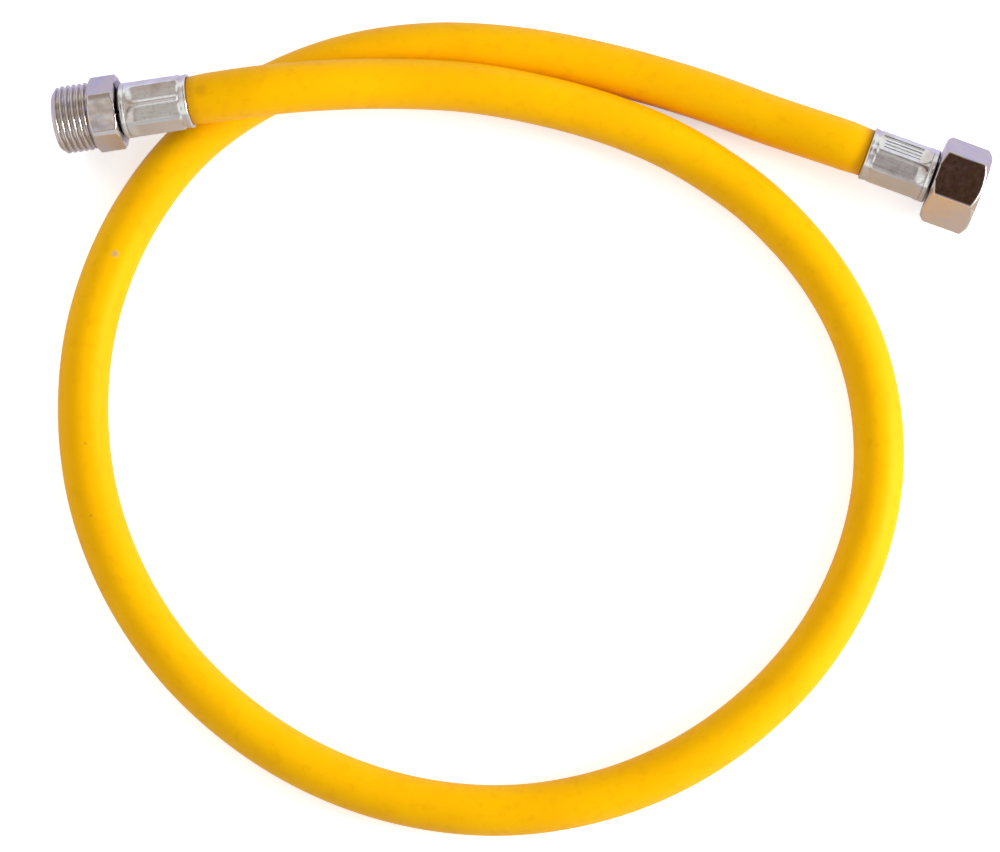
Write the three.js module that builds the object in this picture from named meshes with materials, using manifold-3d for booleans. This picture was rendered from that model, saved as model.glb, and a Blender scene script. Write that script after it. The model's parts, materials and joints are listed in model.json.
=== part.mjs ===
// Flexible gas hose: one metre of rubber hose laid in a single loop, a crimped fitting with a male pipe
// thread on one end and a crimped stem with a loose swivel nut on the other.
// Millimetres, +Z up. It lies on z = 0, with the origin midway between the two end fittings.
import * as THREE from 'three';
import { mergeVertices } from 'three/addons/utils/BufferGeometryUtils.js';
import Module from 'manifold-3d';

// Hose
const hoseOuterDiameter = 15.6;
const hoseBoreDiameter = 9;
const hoseSides = 12;
const hoseSteps = 64;

// Ferrules, crimped round the hose, the same on both ends
const ferruleLength = 21.6;
const ferruleWall = 0.6;
const crimpSqueeze = 0.45; // how far the crimp pushes the hose's surface in
const crimpSides = 8;
const lipWidth = 2.2;
const lipWall = 0.8;
const noseWidth = 4.4;
const noseStep = 0.5; // how far the uncrimped nose stands above the flats
const noseRound = 1.3;
const noseWall = 1.4;

// Barbed tails inside the hose
const barbBite = 0.9; // how much wider than the bore the barbs are
const barbHeight = 0.5;
const barbPitch = 3.4;
const barbLand = 0.6;
const barbCount = 5;
const tailWall = 1.05;
const tailTip = 1;
const collarHeight = 1.55;

// Male fitting, with a half-inch pipe thread
const threadDiameter = 20.955;
const threadRootDiameter = 18.63;
const threadPitch = 1.814;
const threadCrest = 0.35;
const threadFlank = 0.7;
const threadLength = 11.5;
const threadEndRadius = 8.85;
const maleHexAcrossFlats = 21;
const maleHexLength = 8.3;
const maleHexGap = 0.8;
const maleMouthDiameter = 13.5;
const maleMouthDepth = 6;
const maleMouthTaper = 2;

// Swivel nut, its stem's flange and the washer
const nutAcrossFlats = 24;
const nutLength = 14.6;
const nutBackWall = 2.6;
const nutTravel = 2.5;
const nutGap = 0.4;
const nutFrontChamfer = { across: 2.1, along: 1.25 };
const nutBackChamfer = { across: 1.5, along: 1.3 };
const nutMouthRelief = 0.2;
const flangeThickness = 2.4;
const flangeSideGap = 0.5;
const washerHoleDiameter = 10;
const washerThickness = 2;
const washerSideGap = 0.35;

// Both hexagons
const cornerCut = 0.35; // how far the corners are turned down
const hexChamfer = 0.7;

// Fits and roundness
const clearance = 0.3;
const roundSides = 24;
const spare = 1; // how far a cutting shape runs past what it cuts
const overlap = 0.2; // how far joined shapes run into each other

// How the two fittings lie: heading in plan, how far the outer end dips, and turns about their own axis
const degrees = THREE.MathUtils.degToRad;
const maleHeading = degrees(187.3);
const maleDip = degrees(8);
const maleHexRoll = degrees(-11);
const maleFerruleRoll = degrees(22.5);
const nutHeading = degrees(-20.4);
const nutFerruleRoll = degrees(16.5);

// Centreline of the free hose, from the lip of the male ferrule to the lip of the nut ferrule
const route = [
  [-102, 15.2, 22.2], [-94.2, 16.2, 23.3], [-80, 18, 24.4], [-62, 19.9, 22.6], [-40, 21.2, 18.6],
  [-16, 20.5, 15.8], [8, 16.5, 13.6], [28, 11.2, 11.1], [46, 4.1, 8.8], [61, -4.6, 7.9],
  [75.2, -15.5, 7.85], [92.2, -34.5, 7.85], [104, -55.9, 7.85], [110, -79.3, 7.85], [110, -104, 7.85],
  [103.3, -129.1, 7.85], [90.8, -152, 7.85], [73.4, -171.4, 7.85], [51.6, -187.1, 7.85], [26, -197.9, 7.85],
  [-3, -202.8, 7.85], [-32, -200.5, 7.85], [-60, -191.6, 7.85], [-84.9, -176.9, 7.85], [-106, -157.3, 7.85],
  [-122.2, -133.3, 7.85], [-132.2, -107.1, 7.85], [-135.7, -79, 7.85], [-132.7, -50.4, 7.85], [-121.9, -21.8, 7.85],
  [-104.2, 2.8, 7.85], [-82, 19.5, 7.85], [-56, 30.4, 7.85], [-28, 34.7, 7.85], [0, 33.2, 7.85],
  [27, 28.1, 7.85], [54, 20.4, 7.85], [78, 11.4, 9.2], [99.8, 3.5, 11.8], [107.6, 0.6, 12],
].map((point) => new THREE.Vector3(...point));

// Sizes that follow from the driving ones, with places measured along X from the ferrule's lip
const ferruleBoreRadius = hoseOuterDiameter / 2 - crimpSqueeze;
const crimpAcrossFlats = 2 * (ferruleBoreRadius + ferruleWall);
const barbRadius = (hoseBoreDiameter + barbBite) / 2;
const barbRootRadius = barbRadius - barbHeight;
const tailBoreRadius = barbRootRadius - tailWall;
const neckRadius = barbRadius;
const collarRadius = neckRadius + collarHeight;
const hoseEndAt = ferruleLength - noseWall - clearance;
const socketRadius = threadRootDiameter / 2 + clearance;
const nutFrom = ferruleLength + nutGap;
const nutTo = nutFrom + nutLength;
const flangeFrom = nutFrom + nutBackWall + nutTravel + clearance;
const flangeTo = flangeFrom + flangeThickness;

const wasm = await Module();
wasm.setup();

// A closed geometry as a solid that can be joined and cut
function solid(geometry) {
  const bare = geometry.clone();
  bare.deleteAttribute('normal');
  bare.deleteAttribute('uv');
  const merged = mergeVertices(bare);
  return new wasm.Manifold(new wasm.Mesh({
    numProp: 3,
    vertProperties: new Float32Array(merged.attributes.position.array),
    triVerts: new Uint32Array(merged.index.array),
  }));
}

function geometryOf(manifold) {
  const { vertProperties, triVerts } = manifold.getMesh();
  const geometry = new THREE.BufferGeometry();
  geometry.setAttribute('position', new THREE.BufferAttribute(vertProperties, 3));
  geometry.setIndex(new THREE.BufferAttribute(triVerts, 1));
  geometry.computeVertexNormals();
  return geometry;
}

// Turned shape about the fitting's own X axis, from a profile of [distance along X, radius]
function turned(profile) {
  const points = profile.map(([along, radius]) => new THREE.Vector2(radius, along));
  if (THREE.ShapeUtils.area(points) < 0) points.reverse();
  const closed = [...points, points[0].clone()];
  return solid(new THREE.LatheGeometry(closed, roundSides).rotateZ(-Math.PI / 2));
}

// Plain rod or disc about X
const rod = (from, to, radius) => turned([[from, 0], [from, radius], [to, radius], [to, 0]]);

// Prism about X with one flat facing down, turned by roll
function prism(sides, acrossFlats, from, to, roll = 0) {
  const radius = acrossFlats / 2 / Math.cos(Math.PI / sides);
  const outline = new THREE.Shape(Array.from({ length: sides }, (_, i) => {
    const angle = roll + ((i + 0.5) / sides) * 2 * Math.PI;
    return new THREE.Vector2(radius * Math.cos(angle), radius * Math.sin(angle));
  }));
  const bar = new THREE.ExtrudeGeometry(outline, { depth: to - from, bevelEnabled: false });
  return solid(bar.rotateY(Math.PI / 2).translate(from, 0, 0));
}

// Hexagon bar with its corners turned down and both ends chamfered
function hexBar(acrossFlats, from, to, front, back, roll = 0) {
  const cornerRadius = acrossFlats / 2 / Math.cos(Math.PI / 6) - cornerCut;
  const blank = turned([
    [from, 0], [to, 0], [to, cornerRadius - front.across], [to - front.along, cornerRadius],
    [from + back.along, cornerRadius], [from, cornerRadius - back.across],
  ]);
  return blank.intersect(prism(6, acrossFlats, from - spare, to + spare, roll));
}

function circle(radius) {
  return Array.from({ length: hoseSides }, (_, i) => {
    const angle = (i / hoseSides) * 2 * Math.PI;
    return new THREE.Vector2(radius * Math.cos(angle), radius * Math.sin(angle));
  });
}

// Hose: a round tube along the route, and on each end the stretch that its ferrule squeezes thinner
function hoseGeometry(groups) {
  const section = new THREE.Shape(circle(hoseOuterDiameter / 2));
  section.holes.push(new THREE.Path(circle(hoseBoreDiameter / 2)));
  const [start, finish] = groups.map(({ matrixWorld }) => new THREE.Vector3(-clearance, 0, 0)
    .applyMatrix4(matrixWorld));
  const extrudePath = new THREE.CatmullRomCurve3([start, ...route.slice(1, -1), finish]);
  const tube = solid(new THREE.ExtrudeGeometry(section, { steps: hoseSteps, extrudePath }));

  const outer = ferruleBoreRadius - clearance;
  const inner = barbRadius + clearance;
  const squeezed = turned([[-lipWidth, inner], [hoseEndAt, inner], [hoseEndAt, outer], [-lipWidth, outer]]);
  return geometryOf(groups.reduce(
    (hose, { matrixWorld }) => hose.add(squeezed.transform(matrixWorld.elements)),
    tube,
  ));
}

// Ferrule: a thin sleeve with a plain lip, a crimped middle with flats, and a nose rounded off inwards
function ferruleGeometry(roll) {
  const crimpTo = ferruleLength - noseWidth;
  const noseRadius = crimpAcrossFlats / 2 + noseStep;
  const lip = rod(0, lipWidth + overlap, ferruleBoreRadius + lipWall);
  const crimp = prism(crimpSides, crimpAcrossFlats, lipWidth, crimpTo, roll);
  const rounding = [0, 1 / 3, 2 / 3, 1].map((share) => {
    const angle = share * Math.PI / 2;
    return [
      ferruleLength - noseRound * (1 - Math.cos(angle)),
      noseRadius - noseRound * (1 - Math.sin(angle)),
    ];
  });
  const nose = turned([
    [crimpTo - overlap, 0], [ferruleLength, 0], ...rounding, [crimpTo - overlap, noseRadius],
  ]);
  const holeRadius = neckRadius + clearance;
  const hollow = turned([
    [-spare, 0], [ferruleLength + spare, 0], [ferruleLength + spare, holeRadius],
    [ferruleLength - noseWall, holeRadius], [ferruleLength - noseWall, ferruleBoreRadius],
    [-spare, ferruleBoreRadius],
  ]);
  return geometryOf(lip.add(crimp).add(nose).subtract(hollow));
}

// Outside of a barbed tail, from its tip in the hose to the collar in front of the ferrule
function tailProfile(collarTo) {
  const firstBarb = hoseEndAt - barbCount * barbPitch;
  const barbs = Array.from({ length: barbCount }, (_, i) => {
    const start = firstBarb + i * barbPitch;
    const top = start + barbPitch;
    return [[start, barbRootRadius], [top - barbLand, barbRadius], [top, barbRadius]];
  });
  const collarFrom = ferruleLength + clearance;
  return [
    [firstBarb - tailTip, tailBoreRadius], [firstBarb - tailTip, barbRootRadius], ...barbs.flat(),
    [collarFrom, neckRadius], [collarFrom, collarRadius], [collarTo, collarRadius],
  ];
}

// Male fitting: barbed tail, hexagon and ridged thread in one piece, with a bore right through
function maleNippleGeometry() {
  const hexFrom = ferruleLength + maleHexGap;
  const hexTo = hexFrom + maleHexLength;
  const end = hexTo + threadLength;
  const rootRadius = threadRootDiameter / 2;
  const crestRadius = threadDiameter / 2;
  const endChamfer = crestRadius - threadEndRadius;
  const turns = Math.floor((threadLength - endChamfer) / threadPitch);
  const ridges = Array.from({ length: turns }, (_, i) => {
    const crest = hexTo + threadPitch * (i + 1) - threadCrest;
    return [
      [crest - threadFlank, rootRadius], [crest, crestRadius],
      [crest + threadCrest, crestRadius], [crest + threadCrest + threadFlank, rootRadius],
    ];
  });
  const body = turned([
    ...tailProfile(hexFrom + overlap),
    [hexFrom + overlap, rootRadius], ...ridges.flat(), [end - (rootRadius - threadEndRadius), rootRadius],
    [end, threadEndRadius], [end, maleMouthDiameter / 2], [end - maleMouthDepth, maleMouthDiameter / 2],
    [end - maleMouthDepth - maleMouthTaper, tailBoreRadius],
  ]);
  const chamfer = { across: hexChamfer * 2, along: hexChamfer };
  const hex = hexBar(maleHexAcrossFlats, hexFrom, hexTo, chamfer, chamfer, maleHexRoll);
  return geometryOf(body.add(hex.subtract(rod(hexFrom - spare, hexTo + spare, collarRadius - overlap))));
}

// Stem of the swivel end: barbed tail, collar that the nut runs on, and flange that the nut pulls
function nutStemGeometry() {
  const flangeRadius = socketRadius - flangeSideGap;
  return geometryOf(turned([
    ...tailProfile(flangeFrom),
    [flangeFrom, flangeRadius], [flangeTo, flangeRadius], [flangeTo, tailBoreRadius],
  ]));
}

// Swivel nut: hexagon with a threaded socket, and a back wall that runs on the collar
function swivelNutGeometry() {
  const mouthRadius = threadDiameter / 2 + nutMouthRelief;
  const holeRadius = collarRadius + clearance;
  const wallAt = nutFrom + nutBackWall;
  const hollow = turned([
    [nutFrom - spare, 0], [nutTo + spare, 0], [nutTo + spare, mouthRadius + spare],
    [nutTo - (mouthRadius - socketRadius), socketRadius], [wallAt, socketRadius],
    [wallAt, holeRadius], [nutFrom - spare, holeRadius],
  ]);
  return geometryOf(hexBar(nutAcrossFlats, nutFrom, nutTo, nutFrontChamfer, nutBackChamfer).subtract(hollow));
}

// Flat washer in the nut, in front of the flange
function sealingWasherGeometry() {
  const from = flangeTo + clearance;
  const to = from + washerThickness;
  const hole = rod(from - spare, to + spare, washerHoleDiameter / 2);
  return geometryOf(rod(from, to, socketRadius - washerSideGap).subtract(hole));
}

const yellowRubber = new THREE.MeshStandardMaterial({ color: 0xf5b400, roughness: 0.6, metalness: 0 });
const crimpedSteel = new THREE.MeshStandardMaterial({ color: 0xc9c9c7, roughness: 0.35, metalness: 1 });
const nickelPlate = new THREE.MeshStandardMaterial({ color: 0xb9aea4, roughness: 0.25, metalness: 1 });
const blackSeal = new THREE.MeshStandardMaterial({ color: 0x2b2b2d, roughness: 0.8, metalness: 0 });

function named(name, geometry, material) {
  const mesh = new THREE.Mesh(geometry, material);
  mesh.name = name;
  return mesh;
}

// A group at one end of the route, whose X axis points out of the hose
function fitting(seat, heading, dip, ...meshes) {
  const group = new THREE.Group();
  group.position.copy(seat);
  group.rotation.set(0, dip, heading, 'ZYX');
  group.add(...meshes);
  group.updateMatrixWorld(true);
  return group;
}

const maleEnd = fitting(
  route[0], maleHeading, maleDip,
  named('male_ferrule', ferruleGeometry(maleFerruleRoll), crimpedSteel),
  named('male_nipple', maleNippleGeometry(), nickelPlate),
);

const nutEnd = fitting(
  route.at(-1), nutHeading, 0,
  named('nut_ferrule', ferruleGeometry(nutFerruleRoll), crimpedSteel),
  named('nut_stem', nutStemGeometry(), nickelPlate),
  named('sealing_washer', sealingWasherGeometry(), blackSeal),
  named('swivel_nut', swivelNutGeometry(), nickelPlate),
);

const gasHose = new THREE.Group();
gasHose.add(named('hose', hoseGeometry([maleEnd, nutEnd]), yellowRubber), maleEnd, nutEnd);

export default gasHose;
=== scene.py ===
# Flexible gas hose lying in one loop on a white table, with a male pipe fitting and a swivel nut.
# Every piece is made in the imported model's frame, in metres, over the node that it stands for.
import json
import math

import bmesh
import bpy
from mathutils import Matrix, Vector

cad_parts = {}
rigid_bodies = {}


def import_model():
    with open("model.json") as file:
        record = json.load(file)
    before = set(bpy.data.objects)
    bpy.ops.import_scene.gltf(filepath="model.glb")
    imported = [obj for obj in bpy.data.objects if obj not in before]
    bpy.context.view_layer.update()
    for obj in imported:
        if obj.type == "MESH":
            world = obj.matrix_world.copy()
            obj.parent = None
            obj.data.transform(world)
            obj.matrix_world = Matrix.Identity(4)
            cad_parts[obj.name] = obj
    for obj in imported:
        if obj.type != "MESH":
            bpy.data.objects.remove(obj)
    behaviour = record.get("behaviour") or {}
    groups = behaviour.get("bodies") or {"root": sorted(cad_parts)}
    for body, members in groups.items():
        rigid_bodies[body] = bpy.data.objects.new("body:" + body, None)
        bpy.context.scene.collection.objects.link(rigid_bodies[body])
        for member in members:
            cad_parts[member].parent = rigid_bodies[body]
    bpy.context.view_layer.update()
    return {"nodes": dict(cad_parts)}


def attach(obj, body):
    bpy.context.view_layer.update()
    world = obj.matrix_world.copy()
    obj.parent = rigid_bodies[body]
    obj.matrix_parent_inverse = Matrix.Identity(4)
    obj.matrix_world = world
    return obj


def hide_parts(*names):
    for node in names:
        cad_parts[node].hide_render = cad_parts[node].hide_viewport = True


scene = bpy.context.scene
for leftover in list(bpy.data.objects):
    bpy.data.objects.remove(leftover)

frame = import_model()
print("frame loaded:", ", ".join(sorted(frame["nodes"])))

mm = 0.001

# camera, at the angle of the photograph
camera = {
    "lookAt": Vector((-0.0065, -0.0843, 0.008)),
    "distance": 1.3,
    "elevation": math.radians(84),
    "lens": 151.1,
    "sensor": 36.0,
}
eyeLine = Vector((0, -math.cos(camera["elevation"]), math.sin(camera["elevation"])))
cameraData = bpy.data.cameras.new("camera")
cameraData.lens = camera["lens"]
cameraData.sensor_width = camera["sensor"]
cameraData.clip_start = 0.05
cameraData.clip_end = 20
cameraObject = bpy.data.objects.new("camera", cameraData)
cameraObject.location = camera["lookAt"] + eyeLine * camera["distance"]
cameraObject.rotation_euler = eyeLine.to_track_quat("Z", "Y").to_euler()
scene.collection.objects.link(cameraObject)
scene.camera = cameraObject
scene.view_settings.view_transform = "Standard"
print("camera placed")


# a node with its settings, its fixed values and its links
def addNode(tree, kind, values=None, **settings):
    node = tree.nodes.new("ShaderNode" + kind)
    for name, value in settings.items():
        setattr(node, name, value)
    for name, value in (values or {}).items():
        if isinstance(value, bpy.types.Node):
            value = value.outputs[0]
        if isinstance(value, bpy.types.NodeSocket):
            tree.links.new(value, node.inputs[name])
        else:
            node.inputs[name].default_value = value
    return node


def addMath(tree, operation, first, second=0.0, clamp=False):
    return addNode(tree, "Math", {0: first, 1: second}, operation=operation, use_clamp=clamp)


# eases from 0 to 1 between two values
def addEase(tree, value, low, high):
    return addNode(
        tree, "MapRange",
        {"Value": value, "From Min": low, "From Max": high},
        interpolation_type="SMOOTHSTEP",
    )


def addNoise(tree, coordinates, scale, detail=3.0, roughness=0.5):
    return addNode(tree, "TexNoise", {
        "Vector": coordinates, "Scale": scale, "Detail": detail, "Roughness": roughness,
    })


def addMix(tree, factor, first, second, blend="MIX"):
    node = addNode(tree, "Mix", data_type="RGBA", blend_type=blend)
    for index, value in ((0, factor), (6, first), (7, second)):
        if isinstance(value, bpy.types.Node):
            value = value.outputs[0]
        if isinstance(value, bpy.types.NodeSocket):
            tree.links.new(value, node.inputs[index])
        elif index:
            node.inputs[index].default_value = (*value, 1)
        else:
            node.inputs[index].default_value = value
    return node.outputs[2]


# follows a pattern from one limit to the other
def addSpan(tree, pattern, limits, seen=(0.0, 1.0)):
    return addNode(tree, "MapRange", {
        "Value": pattern, "From Min": seen[0], "From Max": seen[1], "To Min": limits[0], "To Max": limits[1],
    })


def newMaterial(name):
    material = bpy.data.materials.new(name)
    material.use_nodes = True
    tree = material.node_tree
    return material, tree, tree.nodes["Principled BSDF"]


# a round blot on the surface, 1 at its centre, in metres
def addBlot(tree, coordinates, centre, size, breakUp):
    away = addNode(tree, "VectorMath", {0: coordinates, 1: centre}, operation="DISTANCE")
    wobble = addMath(tree, "MULTIPLY", breakUp, size * 1.1)
    ragged = addMath(tree, "ADD", away.outputs["Value"], wobble)
    return addEase(tree, ragged, size * 1.75, size * 0.7)


# how each end fitting lies: its seat is the middle of the ferrule's lip, and its x axis points out of the hose
def fittingPlace(seat, heading, dip):
    turn = Matrix.Rotation(math.radians(heading), 4, "Z") @ Matrix.Rotation(math.radians(dip), 4, "Y")
    return Matrix.Translation(Vector(seat)) @ turn


# route of the free hose between the two ferrule lips
hoseRoute = [
    (-0.102, 0.0152, 0.0222), (-0.0942, 0.0162, 0.0233), (-0.08, 0.018, 0.0244), (-0.062, 0.0199, 0.0226),
    (-0.04, 0.0212, 0.0186), (-0.016, 0.0205, 0.0158), (0.008, 0.0165, 0.0136), (0.028, 0.0112, 0.0111),
    (0.046, 0.0041, 0.0088), (0.061, -0.0046, 0.0079), (0.0752, -0.0155, 0.00785), (0.0922, -0.0345, 0.00785),
    (0.104, -0.0559, 0.00785), (0.11, -0.0793, 0.00785), (0.11, -0.104, 0.00785), (0.1033, -0.1291, 0.00785),
    (0.0908, -0.152, 0.00785), (0.0734, -0.1714, 0.00785), (0.0516, -0.1871, 0.00785), (0.026, -0.1979, 0.00785),
    (-0.003, -0.2028, 0.00785), (-0.032, -0.2005, 0.00785), (-0.06, -0.1916, 0.00785), (-0.0849, -0.1769, 0.00785),
    (-0.106, -0.1573, 0.00785), (-0.1222, -0.1333, 0.00785), (-0.1322, -0.1071, 0.00785), (-0.1357, -0.079, 0.00785),
    (-0.1327, -0.0504, 0.00785), (-0.1219, -0.0218, 0.00785), (-0.1042, 0.0028, 0.00785), (-0.082, 0.0195, 0.00785),
    (-0.056, 0.0304, 0.00785), (-0.028, 0.0347, 0.00785), (0, 0.0332, 0.00785), (0.027, 0.0281, 0.00785),
    (0.054, 0.0204, 0.00785), (0.078, 0.0114, 0.0092), (0.0998, 0.0035, 0.0118), (0.1076, 0.0006, 0.012),
]

# linesPerFlat counts the ferrule's flats from the underside towards the fitting's own y axis,
# and the last key is 1 where the duller side, greyed with painted reflection, faces that way and -1 where it faces
# away
maleEnd = {
    "place": fittingPlace(hoseRoute[0], 187.3, 8),
    "hexRoll": math.radians(-11),
    "ferruleRoll": math.radians(22.5),
    "linesPerFlat": [4, 0, 0, 0, 0, 0, 4, 0],
    "dullFacing": 1,
}
nutEnd = {
    "place": fittingPlace(hoseRoute[-1], -20.4, 0),
    "hexRoll": 0.0,
    "ferruleRoll": math.radians(16.5),
    "linesPerFlat": [5, 0, 0, 4, 0, 0, 4, 0],
    "dullFacing": -1,
}

# hose, with a real bore, squeezed inside the ferrules
hose = {
    "radius": 7.8,
    "boreRadius": 4.5,
    "lipRadius": 7.45,  # right at a ferrule's lip
    "easeBack": 7.0,  # how far from the lip the squeeze starts to show
    "squeezedRadius": 7.2,
    "squeezedBore": 5.05,
    "squeezeEase": 2.5,
    "boreEase": 3,
    "guidesInside": (6, 13),  # points that keep the hose straight inside a ferrule
    "endInside": 19.9,
    "ringStep": 2.4,
    "sides": 48,
}


# points of a smooth curve through the route, with even steps
def smoothLine(points, step):
    chain = [2 * points[0] - points[1], *points, 2 * points[-1] - points[-2]]
    fine, stepsPerSpan = [], 40
    for a, b, c, d in zip(chain, chain[1:], chain[2:], chain[3:]):
        ab, bc, cd = (max((q - p).length ** 0.5, 1e-6) for p, q in ((a, b), (b, c), (c, d)))
        leave = ((b - a) / ab - (c - a) / (ab + bc) + (c - b) / bc) * bc
        arrive = ((c - b) / bc - (d - b) / (bc + cd) + (d - c) / cd) * bc
        for i in range(stepsPerSpan):
            t = i / stepsPerSpan
            fine.append(
                (2 * t**3 - 3 * t**2 + 1) * b + (t**3 - 2 * t**2 + t) * leave
                + (3 * t**2 - 2 * t**3) * c + (t**3 - t**2) * arrive
            )
    fine.append(points[-1])
    total = sum((q - p).length for p, q in zip(fine, fine[1:]))
    spacing = total / round(total / step)
    line, gone = [fine[0]], 0.0
    for p, q in zip(fine, fine[1:]):
        piece = (q - p).length
        while gone + piece >= spacing * len(line) - 1e-9 and len(line) * spacing < total:
            line.append(p.lerp(q, (spacing * len(line) - gone) / piece))
        gone += piece
    return [*line, fine[-1]] if (line[-1] - fine[-1]).length > spacing / 2 else line


def easeBetween(value, low, high):
    t = min(max((value - low) / (high - low), 0.0), 1.0)
    return t * t * (3 - 2 * t)


def insidePoint(end, depth):
    return end["place"] @ Vector((depth * mm, 0, 0))


insideDepths = (*hose["guidesInside"], hose["endInside"])
hoseLine = smoothLine([
    *(insidePoint(maleEnd, depth) for depth in reversed(insideDepths)),
    *(Vector(point) for point in hoseRoute),
    *(insidePoint(nutEnd, depth) for depth in insideDepths),
], hose["ringStep"] * mm)
hoseSteps = [(q - p).length for p, q in zip(hoseLine, hoseLine[1:])]
hoseLength = sum(hoseSteps)
print("hose line:", len(hoseLine), "rings,", round(hoseLength, 4), "m from end to end")


# one frame for each ring, turned as little as possible from the one before
def ringFrames(line):
    frames, side = [], Vector((0, 0, 1))
    for index, point in enumerate(line):
        ahead = (line[min(index + 1, len(line) - 1)] - line[max(index - 1, 0)]).normalized()
        side = (side - ahead * side.dot(ahead)).normalized()
        turn = Matrix((side, ahead.cross(side), ahead)).transposed().to_4x4()
        frames.append(Matrix.Translation(point) @ turn)
    return frames


def makeHose():
    bm = bmesh.new()
    fromLip = bm.verts.layers.float.new("fromLip")
    outside, inside, gone = [], [], 0.0
    for index, place in enumerate(ringFrames(hoseLine)):
        away = (min(gone, hoseLength - gone)) / mm - hose["endInside"]
        full, lip, squeezed = hose["radius"], hose["lipRadius"], hose["squeezedRadius"]
        out = lip + (full - lip) * easeBetween(away, 0, hose["easeBack"])
        bore = hose["boreRadius"]
        if away < 0:
            out = squeezed + (lip - squeezed) * easeBetween(away, -hose["squeezeEase"], 0)
            bore += (hose["squeezedBore"] - bore) * easeBetween(-away, 0, hose["boreEase"])
        outside.append((place, out * mm, away * mm))
        inside.append((place, bore * mm, away * mm))
        gone += hoseSteps[index] if index < len(hoseSteps) else 0
    loops = [*outside, *reversed(inside)]
    place, radius, away = loops[0]
    last = place @ Matrix.Scale(radius, 4)
    ring = bmesh.ops.create_circle(bm, segments=hose["sides"], radius=1, matrix=last)["verts"]
    edges = firstEdges = list(bm.edges)
    for vert in ring:
        vert[fromLip] = away
    for place, radius, away in loops[1:]:
        made = bmesh.ops.extrude_edge_only(bm, edges=edges)["geom"]
        ring = [part for part in made if isinstance(part, bmesh.types.BMVert)]
        edges = [part for part in made if isinstance(part, bmesh.types.BMEdge)]
        here = place @ Matrix.Scale(radius, 4)
        bmesh.ops.transform(bm, matrix=here @ last.inverted(), verts=ring)
        for vert in ring:
            vert[fromLip] = away
        last = here
    bmesh.ops.bridge_loops(bm, edges=firstEdges + edges)
    bmesh.ops.recalc_face_normals(bm, faces=bm.faces)
    return bm


# a shown piece: it rides on a body, stands for a node and takes its finish from a slot
def addPiece(name, bm, material, body, node):
    mesh = bpy.data.meshes.new(name)
    bm.to_mesh(mesh)
    bm.free()
    mesh.shade_smooth()
    mesh.materials.append(material)
    piece = bpy.data.objects.new(name, mesh)
    scene.collection.objects.link(piece)
    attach(piece, body)
    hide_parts(node)
    print(name, "made,", len(mesh.polygons), "faces")
    return piece


# yellow rubber, matt and a little mottled, darker and browner towards the ferrules, with a painted shadow line at
# each lip
rubberLook = {
    "colour": (0.9, 0.44, 0.0),
    "lightPatch": (0.93, 0.475, 0.0),
    "darkPatch": (0.8, 0.36, 0.0),
    "darkShare": 0.45,
    "lipDarkColour": (0.5, 0.21, 0.01),  # darker, browner colour near a ferrule's lip
    "lipDarkWidth": 0.0042,
    "lipDarkUneven": 0.003,
    "lipDarkShare": 0.6,
    # painted shadow: a thin dark line right at a ferrule's lip
    "lipShadowColour": (0.36, 0.15, 0.004),
    "lipShadowLine": (0.0006, 0.0001),
    "roughness": (0.41, 0.56),
    "broadScale": 34,
    "middleScale": 260,
    "grainScale": 2600,
    # stains: colour, size in metres, strength and place
    "stains": [
        ((0.42, 0.36, 0.25), 0.0013, 0.75, (-0.1255, -0.0315, 0.0156)),
        ((0.5, 0.21, 0.01), 0.0026, 0.35, (-0.0985, 0.0173, 0.0304)),
        ((0.3, 0.15, 0.02), 0.0006, 0.5, (-0.1322, -0.1128, 0.0155)),
        ((0.3, 0.15, 0.02), 0.0006, 0.5, (-0.129, -0.1062, 0.0156)),
        ((0.3, 0.15, 0.02), 0.0006, 0.5, (-0.1342, -0.0905, 0.0154)),
    ],
}


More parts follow.
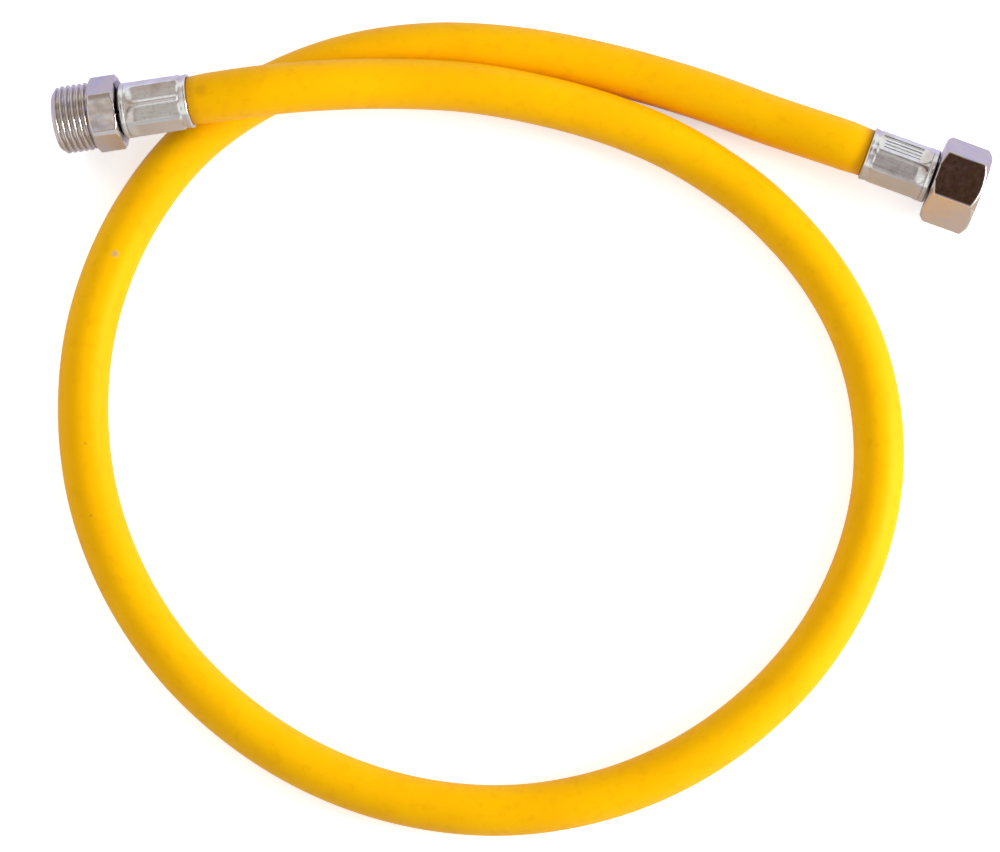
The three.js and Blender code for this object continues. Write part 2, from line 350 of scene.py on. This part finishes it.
def makeRubber():
    material, tree, shader = newMaterial("yellowRubber")
    place = addNode(tree, "TexCoord").outputs["Object"]
    broad = addNoise(tree, place, rubberLook["broadScale"], 2)
    middle = addNoise(tree, place, rubberLook["middleScale"], 4, 0.6)
    grain = addNoise(tree, place, rubberLook["grainScale"], 3, 0.6)
    colour = addMix(tree, addEase(tree, broad, 0.35, 0.7), rubberLook["colour"], rubberLook["lightPatch"])
    dark = addMath(tree, "MULTIPLY", addEase(tree, middle, 0.5, 0.72), rubberLook["darkShare"])
    colour = addMix(tree, dark, colour, rubberLook["darkPatch"])
    fromLip = addNode(tree, "Attribute", attribute_name="fromLip", attribute_type="GEOMETRY").outputs["Fac"]
    # darker and browner over a few millimetres towards a ferrule's lip
    uneven = addMath(tree, "MULTIPLY_ADD", middle, rubberLook["lipDarkUneven"])
    uneven.inputs[2].default_value = -rubberLook["lipDarkUneven"] / 2
    nearLip = addEase(tree, addMath(tree, "ADD", fromLip, uneven), rubberLook["lipDarkWidth"], 0.0)
    lipDarkening = addMath(tree, "MULTIPLY", nearLip, rubberLook["lipDarkShare"])
    colour = addMix(tree, lipDarkening, colour, rubberLook["lipDarkColour"])
    # painted shadow line where the hose goes into a ferrule
    colour = addMix(tree, addEase(tree, fromLip, *rubberLook["lipShadowLine"]), colour, rubberLook["lipShadowColour"])
    for stain, size, share, centre in rubberLook["stains"]:
        blot = addMath(tree, "MULTIPLY", addBlot(tree, place, centre, size, middle), share)
        colour = addMix(tree, blot, colour, stain)
    tree.links.new(colour, shader.inputs["Base Color"])
    gloss = addSpan(tree, middle, rubberLook["roughness"])
    tree.links.new(gloss.outputs[0], shader.inputs["Roughness"])
    shader.inputs["Specular IOR Level"].default_value = 0.25
    shader.inputs["Specular Tint"].default_value = (1, 0.72, 0.12, 1)
    height = addMath(tree, "ADD", addMath(tree, "MULTIPLY", grain, 0.35), addMath(tree, "MULTIPLY", middle, 0.65))
    bump = addNode(tree, "Bump", {"Strength": 0.3, "Distance": 0.00012, "Height": height})
    tree.links.new(bump.outputs[0], shader.inputs["Normal"])
    return material


rubberHose = addPiece("rubberHose", makeHose(), makeRubber(), "hose_body", "hose")


# a shape turned about the fitting's x axis: each ring is a place along it and a radius, in millimetres,
# or a way to get the two from the angle, which starts at the underside
def turnRings(rings, segments):
    bm = bmesh.new()
    mark = bm.verts.layers.int.new("ringNumber")
    chain = []
    for number, ring in enumerate(rings):
        along, radius = ring(0.0) if callable(ring) else ring
        vert = bm.verts.new((along, 0, -radius))
        vert[mark] = number
        chain.append(vert)
    edges = [bm.edges.new(pair) for pair in zip(chain, chain[1:] + chain[:1])]
    bmesh.ops.spin(
        bm, geom=chain + edges, cent=(0, 0, 0), axis=(1, 0, 0), dvec=(0, 0, 0),
        angle=2 * math.pi, steps=segments, use_merge=True, use_duplicate=False,
    )
    for vert in bm.verts:
        ring = rings[vert[mark]]
        if callable(ring):
            angle = math.atan2(vert.co.y, -vert.co.z)
            along, radius = ring(angle)
            vert.co = (along, radius * math.sin(angle), -radius * math.cos(angle))
    bm.verts.layers.int.remove(mark)
    bmesh.ops.recalc_face_normals(bm, faces=bm.faces)
    return bm


# takes a turned shape from its own axis, in millimetres, to its end of the hose
def seatShape(bm, end, roll=0.0):
    turn = end["place"] @ Matrix.Scale(mm, 4) @ Matrix.Rotation(roll, 4, "X")
    bmesh.ops.transform(bm, matrix=turn, verts=bm.verts)
    return bm


# outline of a bar with flats and slightly rounded corners, as a radius at an angle from a flat's middle
def flatSided(angle, sides, acrossFlats, rounding):
    half, flat = math.pi / sides, acrossFlats / 2
    away = abs((angle + half) % (2 * half) - half)
    if away <= math.atan((flat - rounding) * math.tan(half) / flat):
        return flat / math.cos(away)
    centre = (flat - rounding) / math.cos(half)
    aside = half - away
    return centre * math.cos(aside) + math.sqrt(max(rounding**2 - (centre * math.sin(aside)) ** 2, 0))


# rings of a hexagon from its back face to its front face, with an edge along each chamfer's arcs
def hexRings(hexagon):
    start, finish, ringGap = hexagon["from"], hexagon["to"], 0.35
    corner = hexagon["acrossFlats"] / 2 / math.cos(math.pi / 6) - hexagon["cornerCut"]

    def outline(angle):
        return min(flatSided(angle, 6, hexagon["acrossFlats"], hexagon["rounding"]), corner)

    def chamferRing(face, inward, chamfer, shift):
        across, along = chamfer

        def ring(angle):
            reach = outline(angle)
            deep = max(along - (corner - reach) * along / across, 0.0) + shift
            if deep <= 0:
                return face, reach + min(deep, 0.0) * 0.6
            return face + inward * deep, min(reach, corner - across + deep * across / along)
        return ring

    def alongRing(share):
        return lambda angle: (start + (finish - start) * share, outline(angle))

    soft = hexagon["softEdge"]
    back = [chamferRing(start, 1, hexagon["backChamfer"], shift) for shift in (-soft, soft, soft + ringGap)]
    front = [chamferRing(finish, -1, hexagon["frontChamfer"], shift) for shift in (soft + ringGap, soft, -soft)]
    return [*back, *(alongRing(share) for share in (0.3, 0.5, 0.7)), *front]


# one turn of a pipe thread as a height from 0 at the root to 1 at the crest
def threadHeight(along, angle, pitch):
    rootShare, flankShare = 0.17, 0.66
    share = (along / pitch - angle / (2 * math.pi)) % 1.0
    flank = min(max((abs(2 * share - 1) - rootShare) / flankShare, 0.0), 1.0)
    return flank * flank * (3 - 2 * flank) * 0.5 + flank * 0.5


# both ferrules: a plain lip, a crimped middle with flats, and an uncrimped nose with a groove
ferrule = {
    "length": 21.6,
    "segments": 240,
    "boreRadius": 7.35,
    "lipRadius": 8.15,
    "lipWidth": 2.2,
    "lipFlare": [(0.0, -0.25), (0.08, 0.1), (0.3, 0.25), (0.9, 0.15)],  # place along, and how far past lipRadius
    "flats": 8,
    "acrossFlats": 15.9,
    "rounding": 1.6,
    "ridge": 0.2,  # how far the ridge between two flats stands up
    "ridgeWidth": 0.09,
    "crimpEnd": 17.2,
    "runIn": 0.7,  # how soon after the lip a flat is fully pressed
    "runOut": (0.9, 2.1),  # from how far before crimpEnd to how far after it a flat runs out
    "runOutBow": 0.9,
    "crimpRings": 70,
    "ringsPastCrimp": 2.15,
    "noseRadius": 8.6,
    "noseRound": 0.8,
    "noseWall": 1.4,
    "groove": 0.22,
    "grooveAt": 19.75,
    "grooveHalf": 0.28,
    "holeRadius": 5.25,
    "holeEdge": 0.2,
    "lineDepth": 0.12,  # fine lines that the crimping jaws left along some flats
    "linesBegin": (3.4, 4.4),
    "linesEnd": (15.6, 16.8),
    "linesAcross": (0.62, 0.8),  # shares of half a flat, over which the lines fade
}


def crimpRadius(along, angle, linesPerFlat):
    plainRadius = ferrule["lipRadius"] if along < 10 else ferrule["noseRadius"]
    half = math.pi / ferrule["flats"]
    away = (angle + half) % (2 * half) - half
    flatNumber = int(((angle + half) % (2 * math.pi)) // (2 * half))
    pressed = flatSided(angle, ferrule["flats"], ferrule["acrossFlats"], ferrule["rounding"])
    pressed += ferrule["ridge"] * math.exp(-(((half - abs(away)) / ferrule["ridgeWidth"]) ** 2))
    lines = linesPerFlat[flatNumber]
    if lines:
        fadeFrom, fadeTo = ferrule["linesAcross"]
        inside = 1 - easeBetween(abs(away), half * fadeFrom, half * fadeTo)
        ends = easeBetween(along, *ferrule["linesBegin"]) * (1 - easeBetween(along, *ferrule["linesEnd"]))
        wave = 0.5 - 0.5 * math.cos((away / half / fadeTo + 1) * math.pi * lines)
        pressed -= ferrule["lineDepth"] * wave**2 * inside * ends
    # the flats run out in arcs towards the round nose
    bow = ferrule["runOutBow"] * (away / half) ** 2
    before, after = ferrule["runOut"]
    share = easeBetween(along, ferrule["lipWidth"], ferrule["lipWidth"] + ferrule["runIn"])
    share *= 1 - easeBetween(along, ferrule["crimpEnd"] - before - bow, ferrule["crimpEnd"] + after - bow)
    return plainRadius + (pressed - plainRadius) * share


def makeFerrule(end):
    lip, nose = ferrule["lipRadius"], ferrule["noseRadius"]
    length, width = ferrule["length"], ferrule["lipWidth"]
    rings = [(0.0, ferrule["boreRadius"])]
    rings += [*((along, lip + more) for along, more in ferrule["lipFlare"]), (width - 0.1, lip)]
    steps = ferrule["crimpRings"]
    for number in range(steps + 1):
        along = width + (ferrule["crimpEnd"] + ferrule["ringsPastCrimp"] - width) * number / steps
        rings.append(lambda angle, along=along: (along, crimpRadius(along, angle, end["linesPerFlat"])))
    at, deep, half = ferrule["grooveAt"], ferrule["groove"], ferrule["grooveHalf"]
    rings += [
        (at - half, nose), (at - half / 2, nose - deep * 0.7), (at, nose - deep),
        (at + half / 2, nose - deep * 0.7), (at + half, nose),
    ]
    roundSteps = 6
    for number in range(roundSteps + 1):
        turn = number / roundSteps * math.pi / 2
        rings.append((
            length - ferrule["noseRound"] * (1 - math.sin(turn)),
            nose - ferrule["noseRound"] * (1 - math.cos(turn)),
        ))
    hole, edge, wall = ferrule["holeRadius"], ferrule["holeEdge"], length - ferrule["noseWall"]
    rings += [(length, hole + edge), (length - edge, hole), (wall, hole), (wall, ferrule["boreRadius"])]
    return turnRings(rings, ferrule["segments"])


# zinc-plated steel with fine streaks along the sleeve
zincLook = {
    "colour": (0.78, 0.79, 0.78),
    "warmTint": (0.62, 0.57, 0.52),
    "lilacTint": (0.64, 0.58, 0.68),
    "lilacShare": 0.5,
    "streakScale": 1500,
    "cloudScale": 190,
    "spotScale": 1100,
    "roughness": (0.12, 0.27),
    "dullFrom": 5.1,  # from the fitting's axis, in millimetres
    "dullShare": 0.9,
}

# duller, greyer plating on the side of each fitting that faces the loop; its grey is a painted reflection, which
# holds back the loop's orange mirrored there
dullLook = {"colour": (0.46, 0.45, 0.46), "metallic": 0.25, "roughness": 0.45, "edge": 0.35}


# object coordinates turned so that x runs along the fitting
def addFittingCoordinates(tree, end):
    back = end["place"].inverted()
    return addNode(tree, "Mapping", {
        "Vector": addNode(tree, "TexCoord").outputs["Object"],
        "Location": back.to_translation(), "Rotation": back.to_euler(),
    })


def stretched(tree, coordinates, amounts):
    return addNode(tree, "VectorMath", {0: coordinates, 1: amounts}, operation="MULTIPLY")


# the look's share on the duller side, greyed with painted reflection, beyond its distance from the fitting's axis,
# and 0 elsewhere
def addDullSide(tree, place, end, look):
    aside = addMath(tree, "MULTIPLY", addNode(tree, "SeparateXYZ", {0: place}).outputs["Y"], end["dullFacing"])
    start, edge = look["dullFrom"], dullLook["edge"]
    dulled = addEase(tree, aside, (start - edge) * mm, (start + edge) * mm)
    return addMath(tree, "MULTIPLY", dulled, look["dullShare"])


def setDullness(tree, shader, colour, gloss, dulled):
    # painted reflection: the duller side's grey colour stands in for what that side mirrors, with less metal and
    # more roughness
    colour = addMix(tree, dulled, colour, dullLook["colour"])
    tree.links.new(colour, shader.inputs["Base Color"])
    metal = addSpan(tree, dulled, (1.0, dullLook["metallic"]))
    tree.links.new(metal.outputs[0], shader.inputs["Metallic"])
    rough = addNode(tree, "Mix", {0: dulled, 2: gloss, 3: dullLook["roughness"]}, data_type="FLOAT")
    tree.links.new(rough.outputs[0], shader.inputs["Roughness"])


def makeZinc(name, end):
    material, tree, shader = newMaterial(name)
    place = addFittingCoordinates(tree, end)
    streaks = addNoise(tree, stretched(tree, place, (0.07, 1, 1)), zincLook["streakScale"], 4, 0.6)
    clouds = addNoise(tree, place, zincLook["cloudScale"], 3)
    spots = addNoise(tree, place, zincLook["spotScale"], 2)
    colour = addMix(tree, addEase(tree, clouds, 0.4, 0.7), zincLook["colour"], zincLook["warmTint"])
    lilac = addMath(tree, "MULTIPLY", addEase(tree, spots, 0.52, 0.7), zincLook["lilacShare"])
    colour = addMix(tree, lilac, colour, zincLook["lilacTint"])
    gloss = addSpan(tree, streaks, zincLook["roughness"], (0.3, 0.7))
    setDullness(tree, shader, colour, gloss, addDullSide(tree, place, end, zincLook))
    bump = addNode(tree, "Bump", {"Strength": 0.35, "Distance": 0.00005, "Height": streaks})
    tree.links.new(bump.outputs[0], shader.inputs["Normal"])
    return material


# nickel plate over brass, warm and a little cloudy, with fine scratches
nickelLook = {
    "colour": (0.6, 0.545, 0.5),
    "coolTint": (0.54, 0.51, 0.57),
    "brassTint": (0.5, 0.4, 0.26),
    "paintedGapShade": (0.05, 0.035, 0.03),  # painted shade on the back face, inside a radius in metres
    "gapRadius": (0.0101, 0.0093),
    "cloudScale": 230,
    "turnedScale": 1900,
    "wearScale": 620,
    "waveScale": 210,
    "roughness": (0.1, 0.18),
    "dullFrom": 7.3,
    "dullShare": 0.5,
}


# brassy is how much of the brass shows, and painted shade darkens the back face behind the last argument
def makeNickel(name, end, brassy, shadeTo):
    material, tree, shader = newMaterial(name)
    place = addFittingCoordinates(tree, end)
    clouds = addNoise(tree, place, nickelLook["cloudScale"], 4, 0.6)
    turned = addNoise(tree, stretched(tree, place, (1, 0.12, 0.12)), nickelLook["turnedScale"], 3, 0.6)
    wear = addNoise(tree, place, nickelLook["wearScale"], 4, 0.65)
    colour = addMix(tree, addEase(tree, clouds, 0.42, 0.68), nickelLook["colour"], nickelLook["coolTint"])
    brass = addMath(tree, "MULTIPLY", addEase(tree, wear, 0.55, 0.72), brassy)
    colour = addMix(tree, brass, colour, nickelLook["brassTint"])
    # painted shade: the back face behind the hexagon's start, near the axis, is darkened
    along = addNode(tree, "SeparateXYZ", {0: place}).outputs["X"]
    behind = addEase(tree, along, (shadeTo + 0.12) * mm, (shadeTo - 0.02) * mm)
    across = addNode(tree, "VectorMath", {0: stretched(tree, place, (0, 1, 1))}, operation="LENGTH").outputs["Value"]
    shadedGap = addMath(tree, "MULTIPLY", behind, addEase(tree, across, *nickelLook["gapRadius"]))
    colour = addMix(tree, shadedGap, colour, nickelLook["paintedGapShade"])
    gloss = addSpan(tree, wear, nickelLook["roughness"], (0.3, 0.7))
    setDullness(tree, shader, colour, gloss, addDullSide(tree, place, end, nickelLook))
    swell = addNoise(tree, place, nickelLook["waveScale"], 1)
    waves = addNode(tree, "Bump", {"Strength": 0.6, "Distance": 0.0004, "Height": swell})
    bump = addNode(tree, "Bump", {"Strength": 0.3, "Distance": 0.00003, "Height": turned, "Normal": waves})
    tree.links.new(bump.outputs[0], shader.inputs["Normal"])
    return material


for side, end in (("male", maleEnd), ("nut", nutEnd)):
    sleeve = seatShape(makeFerrule(end), end, end["ferruleRoll"])
    plating = makeZinc(side + "Zinc", end)
    addPiece(side + "FerruleSleeve", sleeve, plating, "hose_body", side + "_ferrule")

# barbed tail and collar, the same on both ends
tail = {
    "tip": 1.9,
    "boreRadius": 3.4,
    "rootRadius": 4.45,
    "barbRadius": 4.95,
    "barbs": 5,
    "pitch": 3.4,
    "land": 0.6,
    "collarFrom": 21.9,
    "collarRadius": 6.5,
}


def tailRings():
    tip, first = tail["tip"], tail["tip"] + 1.0
    rings = [(tip, tail["boreRadius"]), (tip, tail["rootRadius"])]
    for number in range(tail["barbs"]):
        start = first + number * tail["pitch"]
        top = start + tail["pitch"]
        rings += [
            (start + 0.02, tail["rootRadius"]), (top - tail["land"], tail["barbRadius"]),
            (top - 0.02, tail["barbRadius"]),
        ]
    return [*rings, (tail["collarFrom"], tail["barbRadius"]), (tail["collarFrom"], tail["collarRadius"])]


# male fitting: hexagon and half-inch pipe thread
maleFitting = {
    "segments": 240,
    "hexagon": {
        "from": 22.1, "to": 30.7, "acrossFlats": 21.0, "cornerCut": 0.45, "rounding": 0.3,
        "backChamfer": (0.9, 0.5), "frontChamfer": (1.4, 0.7), "softEdge": 0.1,
    },
    "rootRadius": 9.315,
    "crestRadius": 10.4775,
    "pitch": 1.814,
    "length": 11.5,
    "runIn": (0.1, 0.9),  # over which the thread rises beside the hexagon
    "endRadius": 8.85,
    "endSlope": 1.05,
    "mouthRadius": 6.75,
    "mouthDepth": 6.0,
    "mouthTaper": 2.0,
    "mouthEdge": 0.35,
    "threadStep": 0.12,
}


def maleThreadRing(along):
    first, end = maleFitting["hexagon"]["to"], maleFitting["hexagon"]["to"] + maleFitting["length"]
    root, crest = maleFitting["rootRadius"], maleFitting["crestRadius"]
    rise = easeBetween(along, *(first + reach for reach in maleFitting["runIn"]))
    limit = maleFitting["endRadius"] + (end - along) * maleFitting["endSlope"]

    def ring(angle):
        height = threadHeight(along - first, angle, maleFitting["pitch"]) * rise
        return along, min(root + (crest - root) * height, limit)
    return ring


def makeMaleFitting():
    hexagon = maleFitting["hexagon"]
    end = hexagon["to"] + maleFitting["length"]
    corner = hexagon["acrossFlats"] / 2 / math.cos(math.pi / 6) - hexagon["cornerCut"]
    rings = [*tailRings(), (hexagon["from"], tail["collarRadius"])]
    rings += [(hexagon["from"], corner - hexagon["backChamfer"][0] - 0.3), *hexRings(hexagon)]
    rings += [(hexagon["to"], maleFitting["rootRadius"] + 0.12)]
    count = round(maleFitting["length"] / maleFitting["threadStep"])
    threaded = maleFitting["length"] - 0.12
    rings += [maleThreadRing(hexagon["to"] + 0.06 + number * threaded / count) for number in range(count + 1)]
    mouth, edge, depth = maleFitting["mouthRadius"], maleFitting["mouthEdge"], maleFitting["mouthDepth"]
    rings += [
        (end, maleFitting["endRadius"] - 0.15), (end, mouth + edge), (end - edge, mouth), (end - depth, mouth),
        (end - depth - maleFitting["mouthTaper"], tail["boreRadius"]),
    ]
    return turnRings(rings, maleFitting["segments"])


addPiece(
    "maleFitting", seatShape(makeMaleFitting(), maleEnd, maleEnd["hexRoll"]),
    makeNickel("maleNickel", maleEnd, 0.55, maleFitting["hexagon"]["from"]),
    "hose_body", "male_nipple",
)

# swivel nut, with a female thread in its socket and a back wall that runs on the collar
swivelNut = {
    "segments": 240,
    "hexagon": {
        "from": 22.0, "to": 37.1, "acrossFlats": 24.4, "cornerCut": 0.03, "rounding": 0.3,
        "backChamfer": (1.7, 1.3), "frontChamfer": (2.3, 1.7), "softEdge": 0.15,
    },
    "wallAt": 24.6,
    "minorRadius": 9.5,
    "majorRadius": 10.5,
    "mouthRadius": 10.7,
    "holeRadius": 6.8,
    "pitch": 1.814,
    "runIn": (0.6, 1.6),  # over which the thread starts beyond the back wall
    "mouthSlope": 1.1,
    "threadStep": 0.16,
}


def nutThreadRing(along):
    finish, minor, major = swivelNut["hexagon"]["to"], swivelNut["minorRadius"], swivelNut["majorRadius"]
    rise = easeBetween(along, *(swivelNut["wallAt"] + reach for reach in swivelNut["runIn"]))
    limit = swivelNut["mouthRadius"] - (finish - along) * swivelNut["mouthSlope"]

    def ring(angle):
        groove = threadHeight(along, angle, swivelNut["pitch"]) * rise
        return along, max(minor + (major - minor) * groove, limit)
    return ring


def makeSwivelNut():
    hexagon = swivelNut["hexagon"]
    corner = hexagon["acrossFlats"] / 2 / math.cos(math.pi / 6) - hexagon["cornerCut"]
    hole, edge = swivelNut["holeRadius"], 0.25
    rings = [(hexagon["from"] + edge, hole), (hexagon["from"], hole + edge)]
    rings += [(hexagon["from"], hexagon["acrossFlats"] / 2 - 0.5), *hexRings(hexagon)]
    rings += [
        (hexagon["to"], corner - hexagon["frontChamfer"][0] - 0.15),
        (hexagon["to"], swivelNut["mouthRadius"] + 0.1),
    ]
    length = hexagon["to"] - swivelNut["wallAt"]
    count = round(length / swivelNut["threadStep"])
    threaded = length - 0.12
    rings += [nutThreadRing(hexagon["to"] - 0.06 - number * threaded / count) for number in range(count + 1)]
    rings += [(swivelNut["wallAt"], swivelNut["minorRadius"] - 0.3), (swivelNut["wallAt"], swivelNut["holeRadius"])]
    return turnRings(rings, swivelNut["segments"])


addPiece(
    "hexSwivelNut", seatShape(makeSwivelNut(), nutEnd, nutEnd["hexRoll"]),
    makeNickel("nutNickel", nutEnd, 0.2, swivelNut["hexagon"]["from"]),
    "nut_body", "swivel_nut",
)

# stem in the swivel end, with the flange that the nut pulls
stemFlange = {"from": 27.4, "to": 29.8, "radius": 9.115, "edge": 0.25, "segments": 120}


def makeStem():
    first, last, radius, edge = (stemFlange[name] for name in ("from", "to", "radius", "edge"))
    rings = [
        *tailRings(), (first, tail["collarRadius"]), (first, radius - edge), (first + edge, radius),
        (last - edge, radius), (last, radius - edge),
        (last, tail["boreRadius"] + 0.3), (last - 0.3, tail["boreRadius"]),
    ]
    return turnRings(rings, stemFlange["segments"])


addPiece(
    "flangedStem", seatShape(makeStem(), nutEnd),
    makeNickel("stemNickel", nutEnd, 0.4, 0.0), "hose_body", "nut_stem",
)

# flat sealing washer in the nut
washer = {
    "from": 30.1,
    "to": 32.1,
    "radius": 9.265,
    "hole": 5.0,
    "edge": 0.3,
    "segments": 120,
    "colour": (0.035, 0.036, 0.04),
    "dustColour": (0.085, 0.082, 0.08),
    "roughness": (0.55, 0.85),
    "grainScale": 2400,
    "dustScale": 420,
}


def makeWasher():
    first, last, edge = washer["from"], washer["to"], washer["edge"]
    rings = []
    for radius, out in ((washer["radius"], 1), (washer["hole"], -1)):
        ends = ((first, first + edge), (last, last - edge))
        for face, inner in ends if out > 0 else reversed(ends):
            between = (face + (inner - face) * 0.3, radius - out * edge * 0.3)
            rounded = [(face, radius - out * edge), between, (inner, radius)]
            rings += rounded if (face == first) == (out > 0) else reversed(rounded)
    return turnRings(rings, washer["segments"])


def makeSeal():
    material, tree, shader = newMaterial("blackSeal")
    place = addNode(tree, "TexCoord").outputs["Object"]
    grain = addNoise(tree, place, washer["grainScale"], 4, 0.65)
    dust = addNoise(tree, place, washer["dustScale"], 3)
    colour = addMix(tree, addEase(tree, dust, 0.5, 0.75), washer["colour"], washer["dustColour"])
    tree.links.new(colour, shader.inputs["Base Color"])
    gloss = addSpan(tree, grain, washer["roughness"])
    tree.links.new(gloss.outputs[0], shader.inputs["Roughness"])
    bump = addNode(tree, "Bump", {"Strength": 0.4, "Distance": 0.00006, "Height": grain})
    tree.links.new(bump.outputs[0], shader.inputs["Normal"])
    return material


addPiece("sealingRing", seatShape(makeWasher(), nutEnd), makeSeal(), "washer_body", "sealing_washer")

# white table and surroundings, and the soft studio light
studio = {
    "tableSize": 12.0,
    "tableColour": (0.9, 0.9, 0.9),
    "tableGlow": 0.5,  # for what the camera sees, so that the table is white there
    "mirroredTable": 0.28,  # how much of the table's own light the metal sees
    "mirroredGlow": 0.58,
    "frontTint": (0.95, 0.77, 0.66),  # the table as the metal shows it, on the loop's side and behind
    "rearTint": (0.87, 0.83, 1.12),
    "tintChange": (-0.03, 0.02),  # where along y the one tint gives way to the other
    "worldLight": 0.62,
    "keyPlace": (1.55, -0.2, 0.62),
    "keySize": 0.8,
    "keyPower": 30.0,
    "fillPlace": (-0.9, 0.7, 1.2),
    "fillSize": 1.0,
    "fillPower": 5.0,
    # what the metal shows from overhead: a direction, how far it spreads in degrees, and its colour
    "ceiling": [
        ((-0.33, 0.12, 0.935), (16, 24), (0.64, 0.575, 0.53)),
        ((0.0, -0.36, 0.933), (8, 20), (0.35, 0.3, 0.29)),
        ((-0.2, -0.62, 0.76), (6, 16), (0.5, 0.46, 0.42)),
        ((-0.31, 0.66, 0.68), (14, 26), (0.5, 0.43, 0.39)),
        ((0.28, 0.66, 0.7), (6, 12), (0.12, 0.12, 0.13)),
        ((0.108, 0.162, 0.981), (11, 15), (0.095, 0.03, 0.018)),
        ((0.1, 0.15, 0.983), (0.5, 5), (0.055, 0.032, 0.01)),
    ],
}


# 1 for rays that come by way of something mirrored or clear
def addMirroredRays(tree, rays):
    return addMath(tree, "MAXIMUM", rays["Is Glossy Ray"], rays["Is Transmission Ray"])


# the camera sees a white table, and the metal a darker, tinted one
def makeTable():
    bm = bmesh.new()
    bmesh.ops.create_grid(bm, x_segments=1, y_segments=1, size=studio["tableSize"] / 2)
    mesh = bpy.data.meshes.new("table")
    bm.to_mesh(mesh)
    bm.free()
    table = bpy.data.objects.new("table", mesh)
    scene.collection.objects.link(table)
    material, tree, shader = newMaterial("whiteTable")
    rays = addNode(tree, "LightPath").outputs
    mirrored = addMirroredRays(tree, rays)
    spot = addNode(tree, "SeparateXYZ", {0: addNode(tree, "TexCoord").outputs["Object"]})
    behind = addEase(tree, spot.outputs["Y"], *studio["tintChange"])
    tint = addMix(tree, behind, studio["frontTint"], studio["rearTint"])
    dimmed = addMix(tree, 1.0, tint, (studio["mirroredTable"],) * 3, "MULTIPLY")
    tree.links.new(addMix(tree, mirrored, studio["tableColour"], dimmed), shader.inputs["Base Color"])
    shader.inputs["Roughness"].default_value = 0.9
    shader.inputs["Specular IOR Level"].default_value = 0.1
    tree.links.new(addMix(tree, mirrored, (1, 1, 1), tint), shader.inputs["Emission Color"])
    seen = addMath(tree, "MULTIPLY", rays["Is Camera Ray"], studio["tableGlow"])
    reflected = addMath(tree, "MULTIPLY", mirrored, studio["mirroredGlow"])
    tree.links.new(addMath(tree, "ADD", seen, reflected).outputs[0], shader.inputs["Emission Strength"])
    mesh.materials.append(material)


# plain white light, with the overhead patches only where the surroundings themselves are seen
def makeWorld():
    world = bpy.data.worlds.new("studio")
    world.use_nodes = True
    tree = world.node_tree
    direction = addNode(tree, "TexCoord").outputs["Generated"]
    rays = addNode(tree, "LightPath").outputs
    seen = addMath(tree, "MAXIMUM", rays["Is Camera Ray"], addMirroredRays(tree, rays))
    colour = (1, 1, 1)
    for centre, (inner, outer), tint in studio["ceiling"]:
        values = {0: direction, 1: Vector(centre).normalized()}
        towards = addNode(tree, "VectorMath", values, operation="DOT_PRODUCT").outputs["Value"]
        covered = addEase(tree, towards, *(math.cos(math.radians(spread)) for spread in (outer, inner)))
        colour = addMix(tree, covered, colour, tint)
    colour = addMix(tree, seen, (1, 1, 1), colour)
    tree.links.new(colour, tree.nodes["Background"].inputs["Color"])
    strength = addSpan(tree, seen, (studio["worldLight"], 1.0))
    tree.links.new(strength.outputs[0], tree.nodes["Background"].inputs["Strength"])
    scene.world = world


def addLamp(name, place, size, power):
    lamp = bpy.data.lights.new(name, "AREA")
    lamp.shape = "DISK"
    lamp.size = size
    lamp.energy = power
    lampObject = bpy.data.objects.new(name, lamp)
    lampObject.location = place
    lampObject.rotation_euler = (Vector(place) - camera["lookAt"]).to_track_quat("Z", "Y").to_euler()
    scene.collection.objects.link(lampObject)
    return lampObject


makeTable()
makeWorld()
addLamp("keyLamp", studio["keyPlace"], studio["keySize"], studio["keyPower"])
fillLamp = addLamp("fillLamp", studio["fillPlace"], studio["fillSize"], studio["fillPower"])
fillLamp.visible_glossy = False  # no bright spot on the metal
print("table, surroundings and lamps made")
